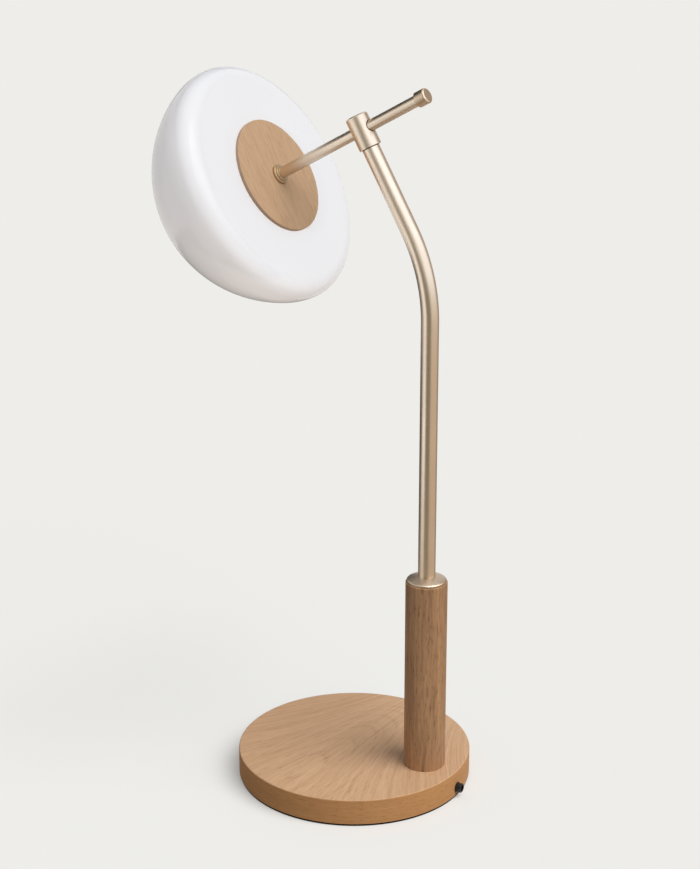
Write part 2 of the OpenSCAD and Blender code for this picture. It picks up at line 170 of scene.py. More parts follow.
# %% Oak grain group
grain_group, given, out = new_group(
    "oak_grain",
    [
        ("Grain", "NodeSocketVector", (0.0, 0.0, 0.0)),
        ("Ring spacing", "NodeSocketFloat", 0.005),
        ("Log depth", "NodeSocketFloat", 0.05),
        ("Log lean", "NodeSocketFloat", 0.2),
        ("Wander", "NodeSocketFloat", 0.016),
        ("Fan", "NodeSocketFloat", 0.0),
        ("Ring strength", "NodeSocketFloat", 0.5),
        ("Fibre strength", "NodeSocketFloat", 0.4),
        ("Streak share", "NodeSocketFloat", 0.5),
        ("Pore strength", "NodeSocketFloat", 0.4),
        ("Pale", "NodeSocketColor", (0.56, 0.33, 0.175, 1.0)),
        ("Dark", "NodeSocketColor", (0.36, 0.19, 0.085, 1.0)),
    ],
    [
        ("Color", "NodeSocketColor"),
        ("Roughness", "NodeSocketFloat"),
        ("Height", "NodeSocketFloat"),
    ],
)
tree = grain_group
plain = add_node(tree, "ShaderNodeSeparateXYZ", {0: given["Grain"]}).outputs
closing = math_node(tree, "MULTIPLY", given["Fan"], -1.0)
narrow = math_node(tree, "EXPONENT", math_node(tree, "MULTIPLY", plain["X"], closing))
fanned = math_node(tree, "MULTIPLY", plain["Y"], narrow)
fine = add_node(tree, "ShaderNodeCombineXYZ", {"X": plain["X"], "Y": fanned, "Z": plain["Z"]}).outputs[0]
slow = noise(tree, given["Grain"], (4.0, 14.0, 14.0), detail=2.0)
sway = add_node(
    tree, "ShaderNodeVectorMath", {0: slow.outputs["Color"], 1: (0.5, 0.5, 0.5)}, operation="SUBTRACT"
)
sway = add_node(
    tree, "ShaderNodeVectorMath", {0: sway.outputs[0], "Scale": given["Wander"]}, operation="SCALE"
)
bent = add_node(
    tree, "ShaderNodeVectorMath", {0: given["Grain"], 1: sway.outputs[0]}, operation="ADD"
)
axes = add_node(tree, "ShaderNodeSeparateXYZ", {0: bent.outputs[0]}).outputs
fall = math_node(tree, "MULTIPLY", axes["X"], given["Log lean"])
height = math_node(tree, "ADD", math_node(tree, "SUBTRACT", axes["Z"], fall), given["Log depth"])
across = add_node(tree, "ShaderNodeCombineXYZ", {"Y": axes["Y"], "Z": height}).outputs[0]
radius = add_node(tree, "ShaderNodeVectorMath", {0: across}, operation="LENGTH").outputs["Value"]
count = math_node(tree, "POWER", math_node(tree, "DIVIDE", radius, given["Ring spacing"]), 2.2)
uneven = add_node(
    tree, "ShaderNodeTexNoise", {"W": count, "Scale": 0.37, "Detail": 1.0}, noise_dimensions="1D"
)
count = math_node(tree, "MULTIPLY_ADD", uneven.outputs["Fac"], 2.2, count)
part = math_node(tree, "FRACT", count)
ramp = add_node(tree, "ShaderNodeValToRGB", {0: part})
ramp.color_ramp.elements[0].color = (0.12, 0.12, 0.12, 1)
ramp.color_ramp.elements[1].color = (0.12, 0.12, 0.12, 1)
for place, shade in ((0.06, 1.0), (0.16, 0.55), (0.45, 0.2)):
    ramp.color_ramp.elements.new(place).color = (shade, shade, shade, 1)
gaps = remap(tree, noise(tree, fine, (60.0, 700.0, 700.0), 2.0).outputs["Fac"], 0.4, 0.62, 0.15, 1.0)
ring = math_node(tree, "MULTIPLY", ramp.outputs["Color"], gaps)
fibre = remap(tree, noise(tree, fine, (26.0, 950.0, 950.0), 3.0, 0.6).outputs["Fac"], 0.3, 0.7)
streak = remap(tree, noise(tree, fine, (5.0, 260.0, 260.0), 2.0).outputs["Fac"], 0.3, 0.7)
speck = remap(tree, noise(tree, fine, (90.0, 850.0, 850.0), 2.0).outputs["Fac"], 0.54, 0.66)
pore = math_node(tree, "MULTIPLY", speck, math_node(tree, "MULTIPLY_ADD", ring, 0.7, 0.3))
amount = math_node(tree, "MULTIPLY", ring, given["Ring strength"])
apart = math_node(tree, "SUBTRACT", streak, fibre)
lines = math_node(tree, "MULTIPLY_ADD", apart, given["Streak share"], fibre)
amount = math_node(tree, "MULTIPLY_ADD", lines, given["Fibre strength"], amount)
tone = mixed(tree, amount, given["Pale"], given["Dark"])
pore_dark = mixed(tree, 1.0, tone, (0.42, 0.38, 0.34, 1.0), "MULTIPLY")
tone = mixed(tree, math_node(tree, "MULTIPLY", pore, given["Pore strength"]), tone, pore_dark)
tree.links.new(tone, out["Color"])
tree.links.new(remap(tree, lines, 0.0, 1.0, 0.42, 0.58), out["Roughness"])
ridges = math_node(tree, "MULTIPLY", fibre, 0.3)
tree.links.new(math_node(tree, "SUBTRACT", ridges, pore), out["Height"])
print("group", grain_group.name, "has", len(tree.nodes), "nodes")


# %% [markdown]
# The base, its rim, the column and the disc are cut from different boards, so each has its own
# material with its own direction of grain. The rim is banded: its grain runs round the edge, so its
# coordinates are the way round and the height. A pace above 1 along the grain shortens the figure, and
# one below 1 across it widens the lines: the column's oak is coarser. The disc's edge gets a darker,
# greyer copy of the disc's oak: painted shade for the shade that falls on that thin edge.


# %% Oak finishes
def oak_finish(name, place, pale, dark, values, shine=0.2):
    material, tree, shader = new_material(name)
    group = add_node(tree, "ShaderNodeGroup", node_tree=grain_group)
    tree.links.new(place(tree), group.inputs["Grain"])
    group.inputs["Pale"].default_value = (*pale, 1.0)
    group.inputs["Dark"].default_value = (*dark, 1.0)
    for key, value in values.items():
        group.inputs[key].default_value = value
    tree.links.new(group.outputs["Color"], shader.inputs["Base Color"])
    tree.links.new(group.outputs["Roughness"], shader.inputs["Roughness"])
    shader.inputs["Specular IOR Level"].default_value = shine
    bump(tree, shader, group.outputs["Height"], 0.25, 0.15)
    return material


def round_the_rim(tree):
    axes = add_node(tree, "ShaderNodeSeparateXYZ", {0: object_place(tree)}).outputs
    angle = math_node(tree, "ARCTAN2", axes["X"], axes["Y"])
    way = math_node(tree, "MULTIPLY", angle, RIM_PACE)
    return add_node(tree, "ShaderNodeCombineXYZ", {"X": way, "Y": axes["Z"]}).outputs[0]


def along_the_post(tree):
    place = object_place(tree, turn=UPRIGHT, shift=(0.0, -COLUMN_Y * MM, 0.0))
    return scaled(tree, place, POST_PACE)


def along_the_lean(tree):
    return object_place(tree, turn=LEANING)


LEAN = math.radians(29.4)
COLUMN_Y = 68.5
UPRIGHT = (0.0, math.pi / 2, 0.0)
LEANING = (-LEAN, math.pi / 2, 0.0)
RIM_PACE = 0.16
POST_PACE = (1.5, 0.75, 0.75)
PLATE_GRAIN = {
    "Ring spacing": 0.021, "Log depth": 0.15, "Log lean": 0.05, "Wander": 0.01,
    "Ring strength": 0.12, "Fibre strength": 0.4, "Pore strength": 0.6,
}
oak_top = oak_finish(
    "oak_top",
    lambda tree: object_place(tree, turn=(0.0, 0.0, 0.14), shift=(0.0, 0.007, 0.0)),
    (0.69, 0.437, 0.258),
    (0.40, 0.225, 0.115),
    {
        "Ring spacing": 0.022, "Log depth": 0.004, "Log lean": 0.35, "Wander": 0.02, "Fan": 7.9,
        "Ring strength": 0.4, "Fibre strength": 0.6, "Pore strength": 0.4,
    },
)
oak_rim = oak_finish(
    "oak_rim",
    round_the_rim,
    (0.58, 0.30, 0.125),
    (0.38, 0.175, 0.065),
    {
        "Ring spacing": 0.008, "Log depth": 0.02, "Log lean": 0.02, "Wander": 0.006,
        "Ring strength": 0.2, "Fibre strength": 0.5, "Pore strength": 0.6,
    },
    shine=0.06,
)
oak_post = oak_finish(
    "oak_post",
    along_the_post,
    (0.56, 0.314, 0.158),
    (0.20, 0.108, 0.058),
    {
        "Ring spacing": 0.014, "Log depth": 0.06, "Log lean": 0.03, "Wander": 0.008,
        "Ring strength": 0.25, "Fibre strength": 0.75, "Streak share": 0.55, "Pore strength": 0.8,
    },
)
oak_plate = oak_finish(
    "oak_plate", along_the_lean, (0.54, 0.355, 0.215), (0.36, 0.215, 0.12), PLATE_GRAIN
)
# The disc's edge is a darker, greyer copy of the disc's oak: painted shade on that thin edge.
oak_edge_shaded = oak_finish(
    "oak_edge_shaded", along_the_lean, (0.45, 0.325, 0.23), (0.30, 0.197, 0.13), PLATE_GRAIN
)
print("oak finishes:", oak_top.name, oak_rim.name, oak_post.name, oak_plate.name, oak_edge_shaded.name)

# %% [markdown]
# ## Satin brass
# The metal is brushed and pale. Brushing leaves hair-fine lines along the piece, which change the
# roughness more than the colour. The group draws lines along the X of the place that it is given,
# so each piece hands in coordinates turned to its own length.

# %% Brushed metal group
brush_group, given, out = new_group(
    "brushed",
    [
        ("Along", "NodeSocketVector", (0.0, 0.0, 0.0)),
        ("Bright", "NodeSocketColor", (0.755, 0.65, 0.515, 1.0)),
        ("Dull", "NodeSocketColor", (0.675, 0.565, 0.445, 1.0)),
        ("Smooth", "NodeSocketFloat", 0.27),
        ("Rough", "NodeSocketFloat", 0.35),
    ],
    [
        ("Color", "NodeSocketColor"),
        ("Roughness", "NodeSocketFloat"),
        ("Height", "NodeSocketFloat"),
    ],
)
tree = brush_group
hair = noise(tree, given["Along"], (60.0, 4200.0, 4200.0), 2.0, 0.7).outputs["Fac"]
patch = noise(tree, given["Along"], (14.0, 40.0, 40.0), 3.0).outputs["Fac"]
blend = math_node(tree, "MULTIPLY_ADD", patch, 0.5, math_node(tree, "MULTIPLY", hair, 0.5))
spread = remap(tree, blend, 0.35, 0.65)
tree.links.new(mixed(tree, spread, given["Bright"], given["Dull"]), out["Color"])
width = math_node(tree, "SUBTRACT", given["Rough"], given["Smooth"])
tree.links.new(math_node(tree, "MULTIPLY_ADD", spread, width, given["Smooth"]), out["Roughness"])
tree.links.new(hair, out["Height"])


def brushed_finish(name, place, values=None):
    material, tree, shader = new_material(name)
    group = add_node(tree, "ShaderNodeGroup", node_tree=brush_group)
    tree.links.new(place(tree), group.inputs["Along"])
    for key, value in (values or {}).items():
        group.inputs[key].default_value = value
    tree.links.new(group.outputs["Color"], shader.inputs["Base Color"])
    tree.links.new(group.outputs["Roughness"], shader.inputs["Roughness"])
    shader.inputs["Metallic"].default_value = 1.0
    bump(tree, shader, group.outputs["Height"], 0.04, 0.02)
    return material


def along_the_arm(tree):
    return object_place(tree, turn=(-LEAN, 0.0, math.pi / 2))


# The collar's brass is a darker copy of the other brass: painted shade for the dark surroundings that its
# dome reflects.
brass_upright_shaded = brushed_finish(
    "brass_upright_shaded",
    lambda tree: object_place(tree, turn=UPRIGHT),
    {"Bright": (0.57, 0.463, 0.359, 1), "Dull": (0.50, 0.396, 0.304, 1), "Smooth": 0.34, "Rough": 0.41},
)
brass_lean = brushed_finish("brass_lean", along_the_lean)
brass_arm = brushed_finish("brass_arm", along_the_arm)
# The flange's brass is a darker, browner copy of the brass: painted shade on the ring.
brass_ring_shaded = brushed_finish(
    "brass_ring_shaded",
    along_the_arm,
    {"Bright": (0.56, 0.43, 0.28, 1), "Dull": (0.45, 0.335, 0.21, 1), "Smooth": 0.34, "Rough": 0.44},
)
# The cap's brass is a darker copy too: painted shade on the rod's end.
brass_cap_shaded = brushed_finish(
    "brass_cap_shaded",
    along_the_arm,
    {"Bright": (0.64, 0.505, 0.37, 1), "Dull": (0.57, 0.44, 0.32, 1)},
)
steel = brushed_finish(
    "zinc_steel",
    object_place,
    {"Bright": (0.62, 0.63, 0.65, 1), "Dull": (0.5, 0.51, 0.53, 1), "Smooth": 0.28, "Rough": 0.42},
)
aluminium = brushed_finish(
    "turned_aluminium",
    along_the_arm,
    {"Bright": (0.8, 0.81, 0.82, 1), "Dull": (0.7, 0.71, 0.73, 1), "Smooth": 0.3, "Rough": 0.45},
)
brushed = (brass_upright_shaded, brass_lean, brass_arm, brass_ring_shaded, brass_cap_shaded, steel, aluminium)
print("brushed finishes:", [finish.name for finish in brushed])

# %% [markdown]
# The stem is bent, so straight coordinates would run off it. Its material reads an attribute that
# the stem's mesh carries: where each point would be if the tube were straight again.


# %% Brass for the bent stem
def straightened(tree):
    run = add_node(tree, "ShaderNodeAttribute", attribute_name="run").outputs["Vector"]
    return add_node(tree, "ShaderNodeMapping", {"Vector": run, "Rotation": UPRIGHT}).outputs["Vector"]


# The stem's brass is a lighter copy of the tee's and rod's brass: painted light for the brighter bands that
# the stem shows.
brass_stem_lit = brushed_finish(
    "brass_stem_lit", straightened, {"Bright": (0.80, 0.69, 0.555, 1), "Dull": (0.715, 0.60, 0.478, 1)}
)
print("finish for the stem:", brass_stem_lit.name)

# %% [markdown]
# ## Opal glass, rubber, plastic
# Opal glass is glossy on the outside and milky all through, with a very slight cloudiness. The
# small dark and white pieces are moulded: a fine grain breaks up their shine.

# %% Opal glass and moulded finishes
opal, tree, shader = new_material("opal_glass_gloss")
place = object_place(tree)
cloud = noise(tree, place, (9.0, 9.0, 9.0), 2.0).outputs["Fac"]
tree.links.new(
    mixed(tree, cloud, (0.805, 0.805, 0.82, 1.0), (0.835, 0.835, 0.85, 1.0)), shader.inputs["Base Color"]
)
tree.links.new(remap(tree, cloud, 0.0, 1.0, 0.16, 0.2), shader.inputs["Roughness"])
shader.inputs["IOR"].default_value = 1.5
shader.inputs["Specular IOR Level"].default_value = 0.2


def moulded_finish(name, low, high, smooth, rough, grain=900.0, depth=0.05, shine=0.5):
    material, tree, shader = new_material(name)
    place = object_place(tree)
    fine = noise(tree, place, (grain, grain, grain), 2.0).outputs["Fac"]
    broad = noise(tree, place, (35.0, 35.0, 35.0), 2.0).outputs["Fac"]
    tree.links.new(mixed(tree, broad, (*low, 1.0), (*high, 1.0)), shader.inputs["Base Color"])
    tree.links.new(remap(tree, broad, 0.2, 0.8, smooth, rough), shader.inputs["Roughness"])
    shader.inputs["Specular IOR Level"].default_value = shine
    bump(tree, shader, fine, 0.3, depth)
    return material


rubber = moulded_finish(
    "black_rubber", (0.012, 0.011, 0.010), (0.022, 0.020, 0.018), 0.6, 0.8, grain=700.0, depth=0.1, shine=0.05
)
black_plastic = moulded_finish("black_moulding", (0.008, 0.008, 0.008), (0.014, 0.014, 0.014), 0.35, 0.5)
cable_sheath = moulded_finish("cable_sheath", (0.012, 0.012, 0.012), (0.02, 0.02, 0.02), 0.45, 0.6)
white_plastic = moulded_finish("white_moulding", (0.76, 0.76, 0.73), (0.82, 0.82, 0.8), 0.35, 0.5)
phosphor = moulded_finish("phosphor", (0.85, 0.6, 0.12), (0.9, 0.7, 0.2), 0.25, 0.4, 2500.0, 0.02)
print("moulded finishes:", rubber.name, black_plastic.name, white_plastic.name, phosphor.name)

# %% [markdown]
# ## Finishes for the pieces inside
# The screws, the driver, the light unit and the other hidden pieces stay as CAD made them. Each one
# gets the finish that its material slot in the record names.

# %% Dress the CAD nodes
FINISHES = {
    "oak": oak_post,
    "satin_brass": brass_lean,
    "opal_glass": opal,
    "black_pad": rubber,
    "black_plastic": black_plastic,
    "cable": cable_sheath,
    "steel": steel,
    "aluminium": aluminium,
    "white_plastic": white_plastic,
    "led": phosphor,
}
for part in frame["record"]["subparts"]:
    solid = frame["nodes"][part["node"]]
    finish = FINISHES[part["material_slot"]]
    if not solid.material_slots:
        solid.data.materials.append(finish)
    for material_slot in solid.material_slots:
        material_slot.material = finish

# %% [markdown]
# ## Turning on a lathe
# Most of the lamp is turned: base, column, collar, cap, globe. By hand one would draw half of the
# section and spin it round an axis, and the helper does just that. It shrinks a plane to a point,
# extrudes that point along the outline, spins it a full turn, and merges the seam and the poles.


# %% Helpers for modelling
def arc(centre_r, centre_h, radius, start, stop, steps=8):
    """Points of (radius, height) on an arc, with angles in degrees from the outward direction."""
    angles = [math.radians(start + (stop - start) * i / steps) for i in range(steps + 1)]
    return [(centre_r + radius * math.cos(a), centre_h + radius * math.sin(a)) for a in angles]


def turned(name, outline, steps=96, angle=math.tau):
    bpy.ops.object.select_all(action="DESELECT")
    bpy.ops.mesh.primitive_plane_add(size=MM)
    piece = bpy.context.object
    piece.name = piece.data.name = name
    bpy.ops.object.mode_set(mode="EDIT")
    bpy.ops.mesh.select_mode(type="VERT")
    bpy.ops.mesh.select_all(action="SELECT")
    bpy.ops.mesh.merge(type="CENTER")
    before = Vector()
    for index, (radius, height) in enumerate(outline):
        here = Vector((radius, 0.0, height)) * MM
        if index == 0:
            bpy.ops.transform.translate(value=here)
        else:
            bpy.ops.mesh.extrude_region_move(TRANSFORM_OT_translate={"value": here - before})
        before = here
    bpy.ops.mesh.select_all(action="SELECT")
    bpy.ops.mesh.spin(steps=steps, angle=angle, center=(0, 0, 0), axis=(0, 0, 1))
    bpy.ops.mesh.select_all(action="SELECT")
    bpy.ops.mesh.remove_doubles(threshold=0.002 * MM)
    bpy.ops.mesh.normals_make_consistent(inside=False)
    bpy.ops.object.mode_set(mode="OBJECT")
    return piece


def put(piece, place, tilt=0.0):
    """Tilts a piece about X, moves it, and writes both into its mesh."""
    piece.rotation_euler = (tilt, 0.0, 0.0)
    piece.location = Vector(place) * MM
    bpy.ops.object.select_all(action="DESELECT")
    piece.select_set(True)
    bpy.context.view_layer.objects.active = piece
    bpy.ops.object.transform_apply(location=True, rotation=True, scale=True)


def apply_modifier(piece, kind, **settings):
    modifier = piece.modifiers.new(kind.lower(), kind)
    for key, value in settings.items():
        setattr(modifier, key, value)
    bpy.ops.object.select_all(action="DESELECT")
    piece.select_set(True)
    bpy.context.view_layer.objects.active = piece
    bpy.ops.object.modifier_apply(modifier=modifier.name)


def cut(piece, cutter):
    apply_modifier(piece, "BOOLEAN", object=cutter, operation="DIFFERENCE", solver="EXACT")
    bpy.data.objects.remove(cutter, do_unlink=True)


def round_cutter(radius, length, place, rotation=(0.0, 0.0, 0.0), sides=48):
    bpy.ops.object.select_all(action="DESELECT")
    bpy.ops.mesh.primitive_cylinder_add(
        vertices=sides, radius=radius * MM, depth=length * MM, location=Vector(place) * MM, rotation=rotation
    )
    return bpy.context.object


def finish_piece(piece, node, body, slot, *materials, smooth=30):
    bpy.ops.object.select_all(action="DESELECT")
    piece.select_set(True)
    bpy.context.view_layer.objects.active = piece
    bpy.ops.object.shade_smooth_by_angle(angle=math.radians(smooth))
    for material in materials:
        piece.data.materials.append(material)
    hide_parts(node)
    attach(piece, body)
    print(piece.name, "stands for", node, "with", len(piece.data.polygons), "faces")


# %% [markdown]
# ## The foot pad and the oak base
# The base is a thick oak disc on a thin black pad. It starts as a cylinder, and its upper rim is
# rounded with a bevel, as a router would do it. Underneath, two insets and two extrusions sink the
# ledge for the cover plate and the pocket for the weight. Holes are drilled with booleans.

# %% Foot pad
bpy.ops.object.select_all(action="DESELECT")
bpy.ops.mesh.primitive_cylinder_add(vertices=192, radius=99.4 * MM, depth=2 * MM, location=(0, 0, 1 * MM))
pad = bpy.context.object
pad.name = pad.data.name = "pad_rubber"
put(pad, (0, 0, 1))
apply_modifier(pad, "BEVEL", width=0.4 * MM, segments=3, limit_method="ANGLE", angle_limit=math.radians(40))
finish_piece(pad, "foot_pad", "stand", "black_pad", rubber)

# %% Oak base
BASE_R, BASE_LOW, BASE_TOP = 100.0, 2.0, 24.0
TIE_BORE, GLAND_Z = 5.2, 8.75


def select_faces(piece, wanted):
    bpy.ops.mesh.select_mode(type="FACE")
    bpy.ops.mesh.select_all(action="DESELECT")
    bpy.ops.object.mode_set(mode="OBJECT")
    for face in piece.data.polygons:
        face.select = wanted(face)
    bpy.ops.object.mode_set(mode="EDIT")


bpy.ops.object.select_all(action="DESELECT")
bpy.ops.mesh.primitive_cylinder_add(vertices=256, radius=BASE_R * MM, depth=(BASE_TOP - BASE_LOW) * MM)
base = bpy.context.object
base.name = base.data.name = "base_oak"
put(base, (0, 0, (BASE_LOW + BASE_TOP) / 2))
bpy.ops.object.mode_set(mode="EDIT")
select_faces(base, lambda face: face.normal.z < -0.9)
for rim, depth in ((8.0, 1.5), (7.0, 10.5)):
    bpy.ops.mesh.inset(thickness=rim * MM)
    bpy.ops.mesh.extrude_region_move(TRANSFORM_OT_translate={"value": (0, 0, depth * MM)})
bpy.ops.mesh.select_mode(type="EDGE")
bpy.ops.mesh.select_all(action="DESELECT")
bpy.ops.object.mode_set(mode="OBJECT")
for edge in base.data.edges:
    ends = [base.data.vertices[i].co for i in edge.vertices]
    edge.select = all(abs(end.z - BASE_TOP * MM) < 1e-6 for end in ends)
bpy.ops.object.mode_set(mode="EDIT")
bpy.ops.mesh.bevel(offset=1.2 * MM, segments=5, affect="EDGES")
bpy.ops.object.mode_set(mode="OBJECT")
ALONG_Y = (math.pi / 2, 0.0, 0.0)
cut(base, round_cutter(TIE_BORE, 60.0, (0, COLUMN_Y, 20)))
for side in (-1, 1):
    cut(base, round_cutter(3.05, 16.1, (side * 11.25, COLUMN_Y, BASE_TOP)))
cut(base, round_cutter(3.55, 40.0, (0, 95, GLAND_Z), ALONG_Y))
cut(base, round_cutter(4.45, 10.8, (0, 105, GLAND_Z), ALONG_Y))
finish_piece(base, "base_disc", "stand", "oak", oak_top, oak_rim)
for face in base.data.polygons:
    face.material_index = 1 if abs(face.normal.z) < 0.5 else 0

# %% [markdown]
# ## The cord gland
# A small black moulding low on the back of the base: a thread through the oak, a flange let into
# it, and a short nose with a rounded end. It is turned, then tipped over to point backwards.

# %% Cord gland
outline = [(2.7, 81), (3.5, 81), (3.5, 99.6), (4.3, 99.6), (4.4, 99.7), (4.4, 100.7), (4.3, 100.8)]
outline += [(4.0, 100.8)] + arc(3.2, 104.2, 0.8, 0, 90, 6) + [(2.9, 105), (2.7, 104.8), (2.7, 81)]
gland = turned("gland_black", outline, 48)
put(gland, (0, 0, GLAND_Z), -math.pi / 2)
finish_piece(gland, "cord_gland", "stand", "black_plastic", black_plastic)

# %% [markdown]
# ## The column and its collar
# The column is bored from end to end for the tie tube, and wider at the top for the stem's foot.
# The collar is a shallow dome of brass with a small chamfer round its rim, and a step under it.

# %% Column
COLUMN_TOP, FOOT_Z, FOOT_BORE = 192.0, 172.0, 7.3
outline = [(TIE_BORE, BASE_TOP), (17.3, BASE_TOP), (17.5, 24.2)] + arc(16.5, 191.0, 1.0, 0, 90, 6)
outline += [(FOOT_BORE, COLUMN_TOP), (FOOT_BORE, FOOT_Z), (TIE_BORE, FOOT_Z), (TIE_BORE, BASE_TOP)]
column = turned("column_oak", outline)
put(column, (0, COLUMN_Y, 0))
finish_piece(column, "oak_column", "stand", "oak", oak_post)

# %% Collar
DOME_EDGE, DOME_RISE, STEM_R = 15.9, 2.5, 7.25
drop = (DOME_EDGE**2 - STEM_R**2 - DOME_RISE**2) / (2 * DOME_RISE)
dome_r = math.hypot(DOME_EDGE, drop)
dome_low = math.degrees(math.atan2(drop, DOME_EDGE))
dome_high = math.degrees(math.acos((STEM_R + 0.05) / dome_r))
foot = (FOOT_BORE, COLUMN_TOP)
outline = [foot, (16.1, COLUMN_TOP), (16.1, 192.4), (16.4, 192.4), (16.5, 192.5), (16.5, 193.4)]
outline += arc(0, 194.0 - drop, dome_r, dome_low, dome_high, 12) + [foot]
collar = turned("collar_brass", outline)
put(collar, (0, COLUMN_Y, 0))
finish_piece(collar, "collar", "stand", "satin_brass", brass_upright_shaded)

# %% [markdown]
# ## The bent stem
# A tube bender pushes a straight tube round a former. In Blender a ring of edges is extruded
# straight up, spun round the centre of the bend, and extruded along the leaning end. Solidify then
# gives the wall. The straightened place of each point is kept as an attribute for the material.

# %% Stem
BEND_Z, BEND_R, REACH, SHORT = 413.0, 150.0, 86.0, 15.6
lean_way = Vector((0.0, -math.sin(LEAN), math.cos(LEAN)))
bpy.ops.object.select_all(action="DESELECT")
bpy.ops.mesh.primitive_circle_add(vertices=72, radius=STEM_R * MM)
stem = bpy.context.object
stem.name = stem.data.name = "stem_brass"
put(stem, (0, COLUMN_Y, FOOT_Z))
bpy.ops.object.mode_set(mode="EDIT")
bpy.ops.mesh.select_all(action="SELECT")
bpy.ops.mesh.extrude_region_move(TRANSFORM_OT_translate={"value": (0, 0, (BEND_Z - FOOT_Z) * MM)})
bpy.ops.mesh.spin(
    steps=32, angle=LEAN, center=(0, (COLUMN_Y - BEND_R) * MM, BEND_Z * MM), axis=(-1, 0, 0)
)
bpy.ops.mesh.extrude_region_move(TRANSFORM_OT_translate={"value": lean_way * (REACH - SHORT) * MM})
bpy.ops.mesh.select_all(action="SELECT")
bpy.ops.mesh.remove_doubles(threshold=0.002 * MM)
bpy.ops.mesh.normals_make_consistent(inside=False)
bpy.ops.object.mode_set(mode="OBJECT")
apply_modifier(stem, "SOLIDIFY", thickness=1.2 * MM, offset=-1.0)


def unbent(point):
    y, z = point.y / MM, point.z / MM
    if z <= BEND_Z:
        return (point.x, point.y - COLUMN_Y * MM, point.z)
    out, up = y - (COLUMN_Y - BEND_R), z - BEND_Z
    angle = math.atan2(up, out)
    if angle <= LEAN:
        return (point.x, (math.hypot(out, up) - BEND_R) * MM, (BEND_Z + BEND_R * angle) * MM)
    along = -out * math.sin(LEAN) + up * math.cos(LEAN)
    aside = out * math.cos(LEAN) + up * math.sin(LEAN) - BEND_R
    return (point.x, aside * MM, (BEND_Z + BEND_R * LEAN + along) * MM)


run = stem.data.attributes.new("run", "FLOAT_VECTOR", "POINT")
for index, vertex in enumerate(stem.data.vertices):
    run.data[index].vector = unbent(vertex.co)
finish_piece(stem, "stem_tube", "stand", "satin_brass", brass_stem_lit)
print("stem top at", max(vertex.co.z for vertex in stem.data.vertices))

# %% [markdown]
# ## The tee
# The sleeve on top of the stem is turned, then drilled: a cross bore for the rod's bushes, a way
# for the wires, and two small threaded holes for the grub screws on its far side.

# %% Tee sleeve
TEE = Vector((0.0, 6.964349, 561.559951))
ARM_TILT = math.pi / 2 + LEAN
outline = [(0, 12)] + arc(7.65, 10.4, 1.6, 90, 0, 8) + arc(8.85, -14.6, 0.4, 0, -90, 4)
outline += [(6.3, -15), (6.3, -5.5), (0, -5.5)]
tee = turned("tee_brass", outline)
cut(tee, round_cutter(5.25, 40.0, (0, 0, 0), ALONG_Y, 72))
cut(tee, round_cutter(3.0, 10.0, (0, 0, -5.0)))
for height in (0.0, -10.4):
    cut(tee, round_cutter(2.0, 12.0, (-10.0, 0, height), (0.0, math.pi / 2, 0.0), 32))
put(tee, TEE, LEAN)
finish_piece(tee, "tee_sleeve", "tee", "satin_brass", brass_lean)

# %% [markdown]
# ## The rod, its cap and its flange
# The rod is a tube with two long cuts: a slot underneath, where the wires come in from the stem,
# and a shallow keyway on the side of the grub screws. The cap closes its rear end and the flange
# seats it on the disc. All three are turned upright and then laid along the arm.


# %% Rod
def box_cutter(low, high):
    low, high = Vector(low), Vector(high)
    bpy.ops.object.select_all(action="DESELECT")
    bpy.ops.mesh.primitive_cube_add(size=1, location=(low + high) / 2 * MM, scale=(high - low) * MM)
    return bpy.context.object


SLOT_START, SLOT_STOP = -47.45, 75.85
outline = [(3.1, -63), (4.5, -63), (4.6, -62.9), (4.6, 112.1), (4.5, 112.2), (3.1, 112.2), (3.1, -63)]
rod = turned("rod_brass", outline)
cut(rod, box_cutter((-1.6, -9.2, SLOT_START), (1.6, 0, SLOT_STOP)))
cut(rod, box_cutter((-9.2, -1.4, SLOT_START), (-3.8, 1.4, SLOT_STOP)))
put(rod, TEE, ARM_TILT)
finish_piece(rod, "arm_rod", "arm", "satin_brass", brass_arm)

# %% Cap and flange
ROD_SEAT, DISC_BACK = 4.65, 88
outline = [(ROD_SEAT, -56), (6.1, -56), (6.3, -56.2)] + arc(4.7, -63.9, 1.6, 0, -90, 8)
outline += [(0, -65.5), (0, -63.05), (ROD_SEAT, -63.05), (ROD_SEAT, -56)]
cap = turned("cap_brass", outline, 64)
put(cap, TEE, ARM_TILT)
finish_piece(cap, "end_cap", "arm", "satin_brass", brass_cap_shaded)

outline = [(ROD_SEAT, DISC_BACK), (8.0, DISC_BACK)] + arc(7.4, 86.2, 0.6, 0, -90, 5) + [(6.5, 85.6)]
outline += arc(6.1, 84.8, 0.4, 0, -90, 4) + [(ROD_SEAT, 84.4), (ROD_SEAT, DISC_BACK)]
flange = turned("flange_brass", outline, 64)
put(flange, TEE, ARM_TILT)
finish_piece(flange, "rod_flange", "arm", "satin_brass", brass_ring_shaded)

# %% [markdown]
# ## The oak disc and the opal globe
# The disc is a thin oak plate against the flat back of the globe. The globe is a closed bowl: flat
# back, round shoulder, then a dome of two arcs that meet on the line through both centres. The
# inner wall repeats the outline 3 mm further in, and the rim of the opening is fire-polished round.

# %% Disc
outline = [(ROD_SEAT, DISC_BACK), (47.5, DISC_BACK)] + arc(47.5, 88.5, 0.5, -90, 0, 4)
outline += [(48, 90.9), (47.9, 91), (ROD_SEAT, 91), (ROD_SEAT, DISC_BACK)]
disc = turned("disc_oak", outline, 160)
put(disc, TEE, ARM_TILT)
finish_piece(disc, "oak_disc", "arm", "oak", oak_plate, oak_edge_shaded)
arm_way = Vector((0.0, -math.cos(LEAN), -math.sin(LEAN)))
# The edge faces take the darker oak: painted shade on the disc's rim.
for face in disc.data.polygons:
    face.material_index = 1 if abs(face.normal.dot(arm_way)) < 0.5 else 0

